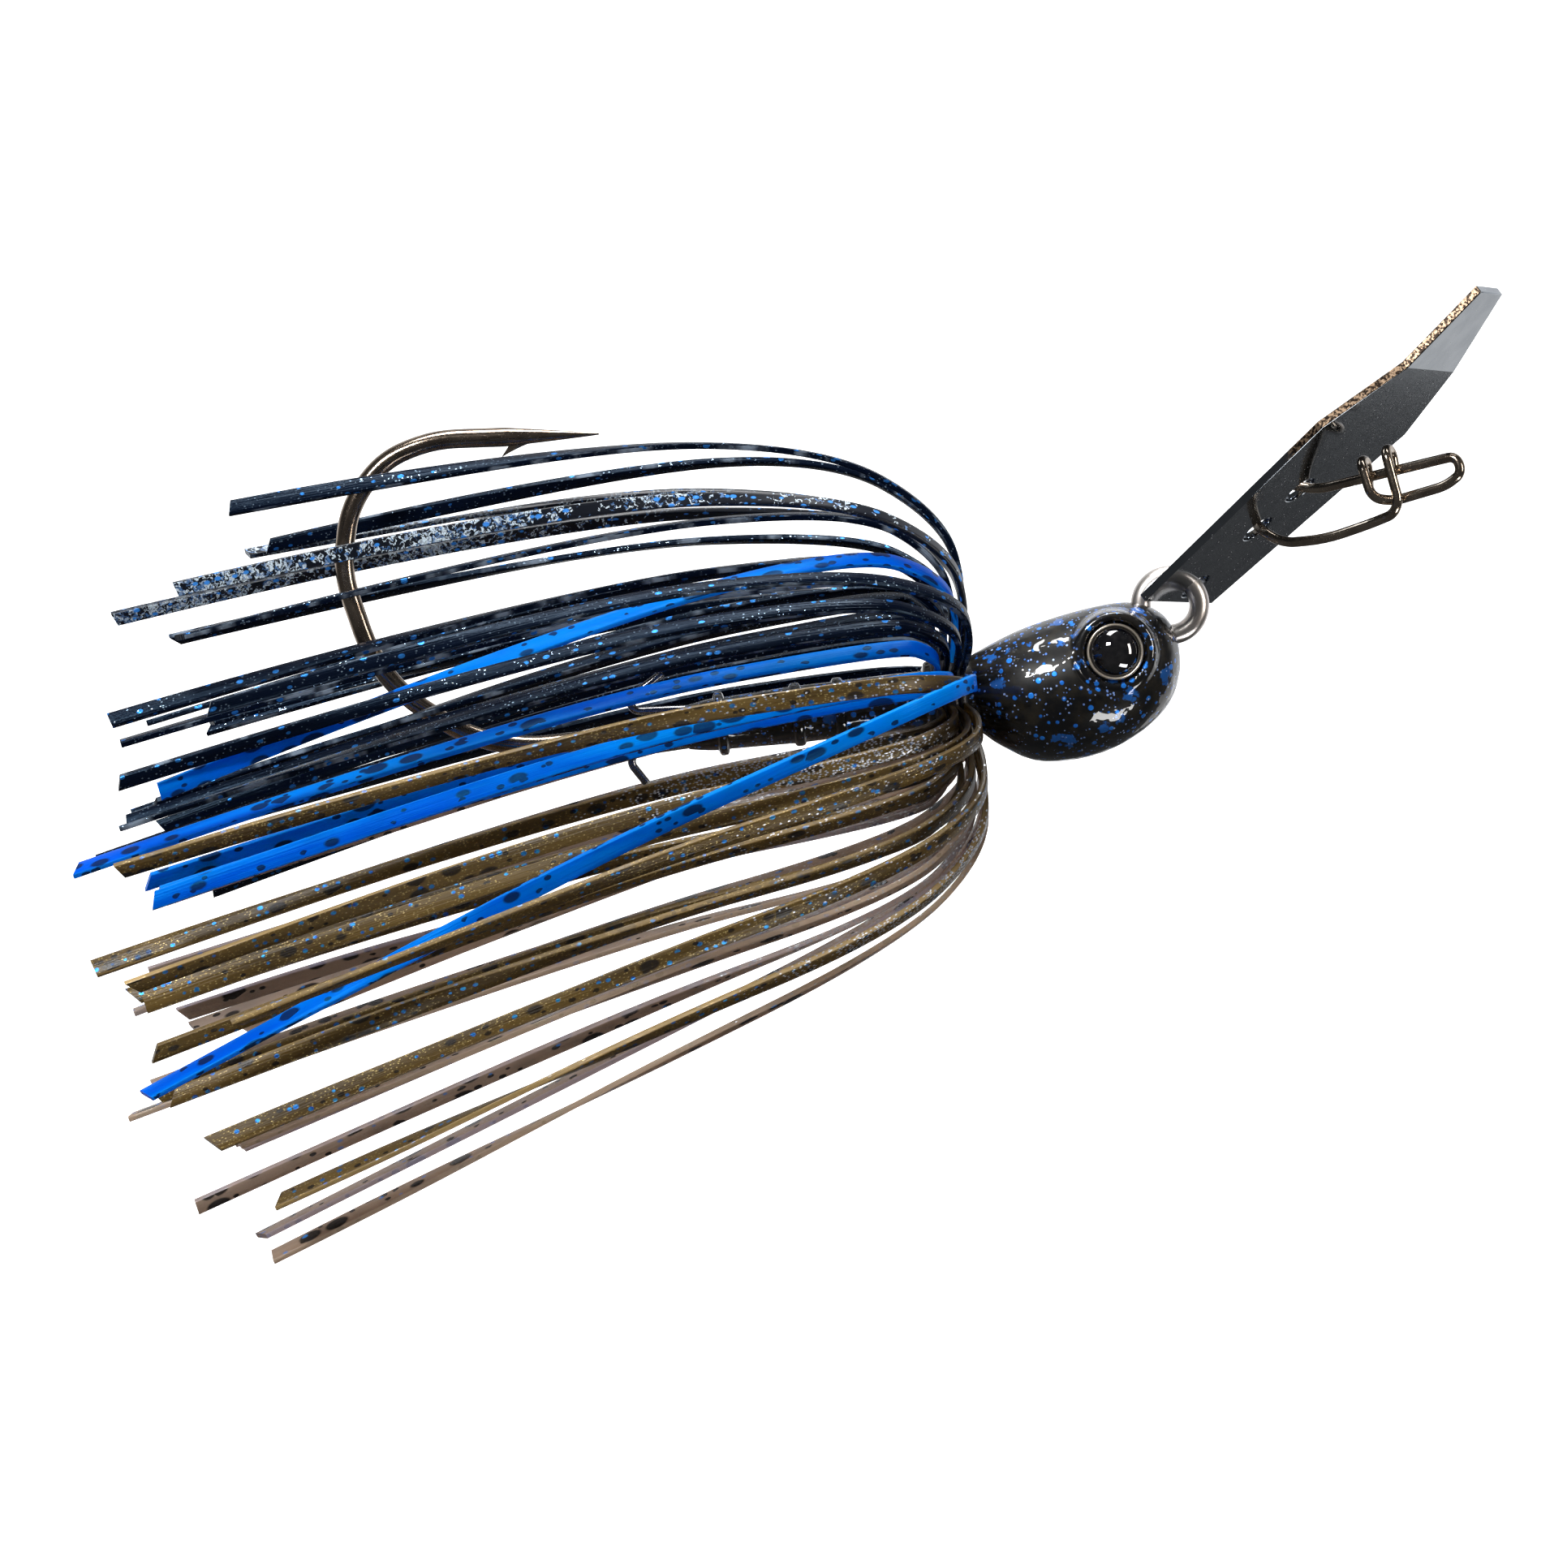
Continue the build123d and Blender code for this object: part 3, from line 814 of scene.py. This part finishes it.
def eye_form(x, y, z):
    """The head's skin near an eye: a flat seat, a wall, and a raised round rim."""
    from_eye = hypot(x - EYE_X, z - EYE_Z)
    outer = EYE_RIM_R + EYE_FADE
    if from_eye > outer or abs(y) < 1.5:
        return y
    side = 1 if y > 0 else -1
    skin = abs(y)
    crest = EYE_RIM_Y + EYE_RIM_RISE
    if from_eye < EYE_SOCKET_R - 0.06:
        return side * EYE_SEAT_Y
    if from_eye < EYE_SOCKET_R + 0.08:
        share = eased((from_eye - EYE_SOCKET_R + 0.06) / 0.14)
        return side * (EYE_SEAT_Y + (crest - 0.16 - EYE_SEAT_Y) * share)
    foot = crest - EYE_RIM_RISE
    if from_eye < EYE_RIM_R + EYE_RIM_RUN:
        across = (from_eye - EYE_RIM_R) / EYE_RIM_HALF
        return side * (foot + EYE_RIM_RISE * sqrt(max(0.0, 1 - across * across)))
    edge = foot + EYE_RIM_RISE * sqrt(max(0.0, 1 - (EYE_RIM_RUN / EYE_RIM_HALF) ** 2))
    share = eased((from_eye - EYE_RIM_R - EYE_RIM_RUN) / (outer - EYE_RIM_R - EYE_RIM_RUN))
    return side * (edge + (skin - edge) * share)


def make_casting():
    profile = [(0.0, BARREL_END_R - 0.55), (0.0, BARREL_END_R - 0.16), (0.05, BARREL_END_R - 0.05),
               (0.16, BARREL_END_R)]
    profile += [(x, BARREL_END_R + (BARREL_R - BARREL_END_R) * x / BARREL_TAPER)
                for x in (0.8, 1.5)]
    for x in RIB_X:
        foot = BARREL_END_R + (BARREL_R - BARREL_END_R) * min((x - 0.6) / BARREL_TAPER, 1)
        half = RIB_WIDTH / 2
        rise = [(-half - 0.12, 0.0), (-half - 0.05, 0.08), (-half + 0.02, 0.62),
                (-half + 0.12, 0.93), (0.0, 1.0), (half - 0.12, 0.93),
                (half - 0.02, 0.62), (half + 0.05, 0.08), (half + 0.12, 0.0)]
        profile += [(x + dx, foot + (RIB_R - foot) * share) for dx, share in rise]
    profile += [(BARREL_LENGTH - 0.5, BARREL_R), (BARREL_LENGTH - 0.12, BARREL_R + 0.06),
                (BARREL_LENGTH, BARREL_R + 0.25), (BARREL_LENGTH + 0.08, NECK_R - 0.1),
                (BARREL_LENGTH + 0.22, NECK_R), (BARREL_LENGTH + 1.6, NECK_R),
                (BARREL_LENGTH + 3.0, NECK_R)]
    rows = [(x, 0.0, r, r) for x, r in profile] + smooth_sections(HEAD_SECTIONS, 0.085)
    sides = 240
    verts = []
    for x, centre_z, half_height, half_width in rows:
        for k in range(sides):
            angle = 2 * pi * k / sides
            y = half_width * cos(angle)
            z = centre_z + half_height * sin(angle)
            verts.append((x, eye_form(x, y, z), z))
    faces = grid_faces(len(rows), sides)
    piece("head_casting", verts, faces, "head_paint", "jig_body", "head_casting")


def make_keepers():
    for name, route in (("keeper_wire_lower", KEEPER_LOWER), ("keeper_wire_upper", KEEPER_UPPER)):
        path = rounded(side_plane(route), KEEPER_BEND_R, 0.12)
        points, radii = softened_ends(path, KEEPER_WIRE_R, 0.06)
        verts, faces = tube(points, radii, 20)
        piece(name, verts, faces, "keeper_wire", "jig_body", name)


def lathe(profile, sides, place):
    """A closed turned form. profile is (radius, height); place maps (u, v, height) to a point."""
    verts = []
    for radius, height in profile:
        for k in range(sides):
            angle = 2 * pi * k / sides
            verts.append(place(radius * cos(angle), radius * sin(angle), height))
    return verts, grid_faces(len(profile), sides)


def make_eyes():
    ball = (EYE_LENS_R ** 2 + EYE_LENS_RISE ** 2) / (2 * EYE_LENS_RISE)
    widest = atan2(EYE_LENS_R, ball - EYE_LENS_RISE)
    dome = [(0.4, 0.0), (EYE_LENS_R - 0.06, 0.0), (EYE_LENS_R, 0.05)]
    for k in range(1, 26):
        angle = widest * (1 - k / 25)
        dome.append((max(ball * sin(angle), 0.02), EYE_LENS_RISE - ball * (1 - cos(angle))))
    thick = EYE_DISC_THICKNESS
    disc = [(0.5, 0.0), (EYE_DISC_R - 0.05, 0.0), (EYE_DISC_R, 0.06)]
    for k in range(13):
        angle = pi * k / 12
        disc.append((EYE_DISC_R - 0.11 + 0.11 * cos(angle), thick - 0.02 + 0.16 * sin(angle)))
    disc += [(EYE_LENS_R - 0.02, thick), (0.5, thick)]
    for side, word in ((-1, "right"), (1, "left")):
        for part, profile, base, finish in (
            ("disc", disc, EYE_SEAT_Y, "eye_disc"),
            ("lens", dome, EYE_SEAT_Y + EYE_DISC_THICKNESS, "eye_lens"),
        ):
            verts, faces = lathe(
                profile, 96, lambda u, v, h: (EYE_X + u, side * (base + h), EYE_Z + v)
            )
            name = f"{word}_eye_{part}"
            piece(name, verts, faces, finish, "jig_body", name)


def make_band():
    """A rubber collar with rounded lips and two shallow grooves."""
    profile = [(NECK_R + 0.01, -BAND_HALF + 0.1)]
    steps = 60
    for k in range(steps + 1):
        t = -1 + 2 * k / steps
        lip = (1 - abs(t) ** 8) ** 0.5
        groove = 0.10 * exp(-((abs(t) - 0.42) / 0.10) ** 2)
        profile.append((NECK_R + 0.05 + (BAND_R - NECK_R - 0.05) * lip - groove, t * BAND_HALF))
    profile.append((NECK_R + 0.01, BAND_HALF - 0.1))
    sides = 120
    verts = []
    for radius, height in profile:
        for k in range(sides):
            angle = 2 * pi * k / sides
            verts.append((BAND_X + height, radius * cos(angle), radius * sin(angle)))
    faces = grid_faces(len(profile), sides, False)
    last = (len(profile) - 1) * sides
    faces += [(k, last + k, last + (k + 1) % sides, (k + 1) % sides) for k in range(sides)]
    piece("skirt_band", verts, faces, "band_rubber", "jig_body", "skirt_band")


# ---------------------------------------------------------------- skirt

def vary(seed, swing):
    """A fixed, uneven number between -swing and swing for each seed."""
    return swing * sin(seed * 2.4 + seed * seed * 0.37)


def strand_route(row, slot):
    """Control points of one strand, and the direction across it at its root, as in the CAD."""
    offset, shoulder, tail_r, length, _ = ROWS[row]
    seed = row * SLOTS + slot
    shoulder *= 1 + vary(seed + 0.3, 0.06)
    tail_r *= 1 + vary(seed + 1.7, 0.08)
    twist = vary(seed + 2.9, 6.0)
    if slot in (0, SLOTS - 1):
        twist = HOOK_LEAN[row] if slot == 0 else -HOOK_LEAN[row]
    length += vary(seed + 4.1, 2.8)
    shoulder, tail_r, twist, length = STRAYS.get((row, slot), (shoulder, tail_r, twist, length))
    azimuth = (slot + ROW_TURN[row]) * 360 / SLOTS
    bend_back = 0.45 * shoulder
    bend_r = STRAND_ROOT_R + 0.95 * shoulder
    rest = length - 1.05 * shoulder
    rise = tail_r - bend_r
    run = sqrt(rest ** 2 - rise ** 2)
    profile = [
        (0, STRAND_ROOT_R, 0),
        (-0.07 * shoulder, STRAND_ROOT_R + 0.26 * shoulder, 0),
        (0.0, STRAND_ROOT_R + 0.6 * shoulder, 0.1),
        (bend_back, bend_r, 0.3),
        (bend_back + 0.42 * run, bend_r + 0.55 * rise, 0.65),
        (bend_back + run, tail_r, 1),
    ]
    points = []
    for behind, radius, share in profile:
        angle = radians(azimuth + twist * share)
        back = max(behind, 0)
        squeeze = 1 - SIDE_SQUEEZE * min(back / SQUEEZE_RUN, 1)
        points.append(Vector((
            BAND_X + offset - behind,
            -radius * sin(angle) * squeeze,
            radius * cos(angle) - SAG * back ** 2,
        )))
    turned = radians(azimuth)
    return points, Vector((0, -cos(turned), -sin(turned)))


def strand_mesh(row, slot):
    """A soft-edged silicone ribbon that turns on itself towards its cut end."""
    points, across = strand_route(row, slot)
    seed = row * SLOTS + slot
    path = evened(spline(points, 40), STRAND_STEP)
    ways = tangents(path)
    corner = 4
    half_w, half_t = STRAND_WIDTH[ROWS[row][-1][slot]] / 2, STRAND_THICKNESS / 2
    round_r = half_t * 0.45
    section = []
    for quadrant, (sx, sz) in enumerate(((1, 1), (-1, 1), (-1, -1), (1, -1))):
        for k in range(corner):
            angle = pi / 2 * (quadrant + k / (corner - 1))
            section.append((sx * (half_w - round_r) + round_r * cos(angle),
                            sz * (half_t - round_r) + round_r * sin(angle)))
        if quadrant in (0, 2):
            section += [(sx * half_w * f, sz * half_t) for f in ((0.45, 0.0, -0.45))]
    around = [0.0]
    for (ax, az), (bx, bz) in zip(section, section[1:] + section[:1]):
        around.append(around[-1] + hypot(bx - ax, bz - az))
    sides = len(section)
    turn_to = vary(seed + 5.3, 1.0) * 1.15
    turn_mid = vary(seed + 7.7, 1.0) * 0.5
    cut = vary(seed + 8.9, 1.0) * 0.7
    verts, edge, reach = [], [], []
    last = len(path) - 1
    for i, (at, way) in enumerate(zip(path, ways)):
        t = i / last
        across = (across - way * across.dot(way)).normalized()
        flat = way.cross(across)
        turn = turn_to * eased((t - 0.30) / 0.7) + turn_mid * sin(pi * eased((t - 0.12) / 0.8))
        wide = across * cos(turn) + flat * sin(turn)
        thick = way.cross(wide)
        breadth = 1 + 0.07 * sin(seed + 9 * t) + 0.05 * eased((t - 0.6) / 0.4)
        root = 1 - 0.35 * (1 - eased(t / 0.06))
        near_cut = max(0.0, 1 - (last - i) / 3)
        for x, z in section:
            slant = way * (cut * x * near_cut)
            verts.append(at + wide * (x * breadth * root) + thick * (z * root) + slant)
            edge.append(abs(x) / half_w)
            reach.append(t)
    faces = grid_faces(len(path), sides)
    shift_u, shift_v = (seed * shift for shift in STRAND_UV_SHIFT)
    uv = []
    for face in faces:
        if len(face) == 4:
            rings = [v // sides for v in face]
            columns = [v % sides for v in face]
            wraps = 0 in columns and sides - 1 in columns
            for ring, column in zip(rings, columns):
                place = sides if wraps and column == 0 else column
                uv += [around[place] + shift_u, ring * STRAND_STEP + shift_v]
        else:
            for v in face:
                x, z = section[v % sides]
                uv += [x + shift_u, z + shift_v]
    own = [0.5 + vary(seed + 11.3, 0.5)] * len(verts)
    return verts, faces, edge, own, uv, reach


def make_skirt():
    groups = {}
    for row, entry in enumerate(ROWS):
        for slot, letter in enumerate(entry[-1]):
            depth = "" if letter in "nb" else "_" + DEPTHS[row]
            groups.setdefault(f"skirt_{COLOURS[letter]}{depth}", []).append((row, slot))
    for name, members in groups.items():
        verts, faces, edge, own, uv, reach = [], [], [], [], [], []
        for row, slot in members:
            more = strand_mesh(row, slot)
            base = len(verts)
            verts += more[0]
            faces += [tuple(i + base for i in face) for face in more[1]]
            edge += more[2]
            own += more[3]
            uv += more[4]
            reach += more[5]
        layers = {"edge": edge, "own": own, "reach": reach, "strand": uv}
        piece(name, verts, faces, "_".join(name.split("_")[:2]), "jig_body", name, layers)


# ---------------------------------------------------------------- blade and snap

def blade_axes():
    rise, yaw, roll = radians(BLADE_RISE), radians(BLADE_YAW), radians(BLADE_ROLL)
    along = Vector((cos(yaw) * cos(rise), -sin(yaw), cos(yaw) * sin(rise)))
    level = (Vector((0, 1, 0)) - along * along.y).normalized()
    across = level * cos(roll) + along.cross(level) * sin(roll)
    out = across.cross(along)
    centre = Vector((EYE_CENTRE[0], 0, EYE_CENTRE[1]))
    return centre + Vector((cos(rise), 0, sin(rise))) * BLADE_HANG, along, out


def make_snap():
    origin, along, out = blade_axes()
    side = out.cross(along)
    route = [origin + along * x + out * z + side * y for x, z, y in SNAP_ROUTE]
    points, radii = softened_ends(rounded(route, None, 0.12), SNAP_WIRE_R, 0.10)
    verts, faces = tube(points, radii, 20, start_normal=out)
    piece("snap", verts, faces, "snap_wire", "snap", "snap")


def make_blade():
    """The stamped plate with its sharp CAD edges eased by a small polished bevel.

    The rim number, the mask of a painted copper highlight, is high on faces that look across the
    plate, ahead of a set distance along the blade.
    """
    origin, along, out = blade_axes()
    work = bmesh.new()
    work.from_mesh(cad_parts["blade"].data)
    bmesh.ops.remove_doubles(work, verts=work.verts, dist=BLADE_WELD * MM)
    bmesh.ops.dissolve_limit(work, angle_limit=BLADE_FLAT, verts=work.verts, edges=work.edges)
    sharp = [e for e in work.edges if len(e.link_faces) == 2 and e.calc_face_angle(0) > BLADE_SHARP]
    bmesh.ops.bevel(work, geom=sharp, offset=BLADE_BEVEL * MM, segments=3, profile=0.5,
                    affect="EDGES")
    work.verts.index_update()
    work.normal_update()
    across = out.cross(along)
    painted_rim_highlight = []
    for v in work.verts:
        facing = max((abs(face.normal.dot(across)) for face in v.link_faces), default=0)
        painted_rim_highlight.append(facing if (v.co / MM - origin).dot(along) > EDGE_HIGHLIGHT_FROM else 0)
    verts = [v.co / MM for v in work.verts]
    faces = [tuple(v.index for v in face.verts) for face in work.faces]
    work.free()
    piece("blade_plate", verts, faces, "blade_metal", "blade", "blade", {"painted_rim_highlight": painted_rim_highlight})


# ---------------------------------------------------------------- stage, light, camera

def make_stage():
    """A pale floor that curves up behind into a plain backdrop."""
    reach = 2.5
    curve_y = 0.25
    curve_r = 0.35
    curve_steps = 16
    profile = [(-reach, 0.0), (curve_y, 0.0)]
    for k in range(1, curve_steps + 1):
        angle = pi / 2 * k / curve_steps
        profile.append((curve_y + curve_r * sin(angle), curve_r * (1 - cos(angle))))
    profile += [(curve_y + curve_r, 2.4)]
    floor_z = -0.085
    verts = []
    for y, z in profile:
        verts += [(-reach, y, floor_z + z), (reach, y, floor_z + z)]
    faces = [(2 * i, 2 * i + 1, 2 * i + 3, 2 * i + 2) for i in range(len(profile) - 1)]
    mesh = bpy.data.meshes.new("floor")
    mesh.from_pydata(verts, [], faces)
    for polygon in mesh.polygons:
        polygon.use_smooth = True
    obj = bpy.data.objects.new("floor", mesh)
    bpy.context.scene.collection.objects.link(obj)
    nodes = Nodes("paper")
    where = nodes.add("ShaderNodeTexCoord").outputs["Object"]
    grain = nodes.noise(where, 90.0, 4.0)
    tone = nodes.mix(grain, (0.92, 0.92, 0.92), (0.95, 0.95, 0.95))
    paper = nodes.principled(
        Base_Color=tone, Roughness=0.9, Emission_Color=colour(1, 1, 1), Emission_Strength=0.85,
    )
    mesh.materials.append(nodes.output(paper))
    obj.visible_glossy = False
    obj.visible_diffuse = False


def softbox(name, at, target, width, height, power, tint=(1, 1, 1)):
    light = bpy.data.lights.new(name, "AREA")
    light.shape = "RECTANGLE"
    light.size = width
    light.size_y = height
    light.energy = power
    light.color = tint
    obj = bpy.data.objects.new(name, light)
    obj.location = at
    obj.visible_camera = False
    obj.rotation_euler = (Vector(target) - Vector(at)).to_track_quat("-Z", "Y").to_euler()
    bpy.context.scene.collection.objects.link(obj)


def make_lights():
    """A dim room that glows behind the object and above its foot, and five softboxes."""
    world = bpy.data.worlds.new("studio")
    bpy.context.scene.world = world
    world.use_nodes = True
    tree = world.node_tree
    facing = tree.nodes.new("ShaderNodeSeparateXYZ")
    tree.links.new(tree.nodes.new("ShaderNodeTexCoord").outputs["Generated"], facing.inputs[0])
    behind = tree.nodes.new("ShaderNodeMapRange")
    above = tree.nodes.new("ShaderNodeMapRange")
    for node, axis, low, high in ((behind, "Y", 0.1, 0.75), (above, "Z", -0.38, -0.16)):
        node.interpolation_type = "SMOOTHSTEP"
        tree.links.new(facing.outputs[axis], node.inputs["Value"])
        node.inputs["From Min"].default_value = low
        node.inputs["From Max"].default_value = high
    glow = tree.nodes.new("ShaderNodeMath")
    glow.operation = "MULTIPLY"
    tree.links.new(behind.outputs[0], glow.inputs[0])
    tree.links.new(above.outputs[0], glow.inputs[1])
    level = tree.nodes.new("ShaderNodeMapRange")
    level.inputs["To Min"].default_value = 0.07
    level.inputs["To Max"].default_value = 0.95
    tree.links.new(glow.outputs[0], level.inputs["Value"])
    background = tree.nodes["Background"]
    background.inputs[0].default_value = colour(0.95, 0.97, 1.0)
    tree.links.new(level.outputs[0], background.inputs[1])
    middle = (0.005, 0.0, 0.0)
    softbox("key", (-0.25, -0.60, 0.42), middle, 0.20, 0.14, 4.6)
    softbox("top", (0.05, -0.05, 0.60), middle, 0.45, 0.16, 4.2)
    softbox("side", (0.60, -0.35, 0.05), middle, 0.11, 0.40, 2.2, (1.0, 0.93, 0.86))
    softbox("low", (0.28, -0.30, -0.55), middle, 0.34, 0.14, 1.7)
    softbox("card", (0.56, 0.62, -0.36), (0.045, 0.0, 0.015), 0.50, 0.40, 0.50)


def make_camera():
    roll = radians(6.93)
    right = Vector((cos(roll), 0, -sin(roll)))
    up = Vector((sin(roll), 0, cos(roll)))
    back = Vector((0, -1, 0))
    distance = 0.70
    seen_width = 0.11034
    sensor = 36
    aim = Vector((6.33, 0, -4.74)) * MM
    data = bpy.data.cameras.new("camera")
    data.sensor_width = sensor
    data.lens = sensor * distance / seen_width
    data.clip_start = 0.01
    data.clip_end = 20
    obj = bpy.data.objects.new("camera", data)
    turn = Matrix((right, up, back)).transposed()
    obj.matrix_world = Matrix.Translation(aim + back * distance) @ turn.to_4x4()
    bpy.context.scene.collection.objects.link(obj)
    bpy.context.scene.camera = obj


make_hook()
make_casting()
make_keepers()
make_eyes()
make_band()
make_skirt()
make_blade()
make_snap()
make_stage()
make_lights()
make_camera()
bpy.context.scene.view_settings.view_transform = "Standard"
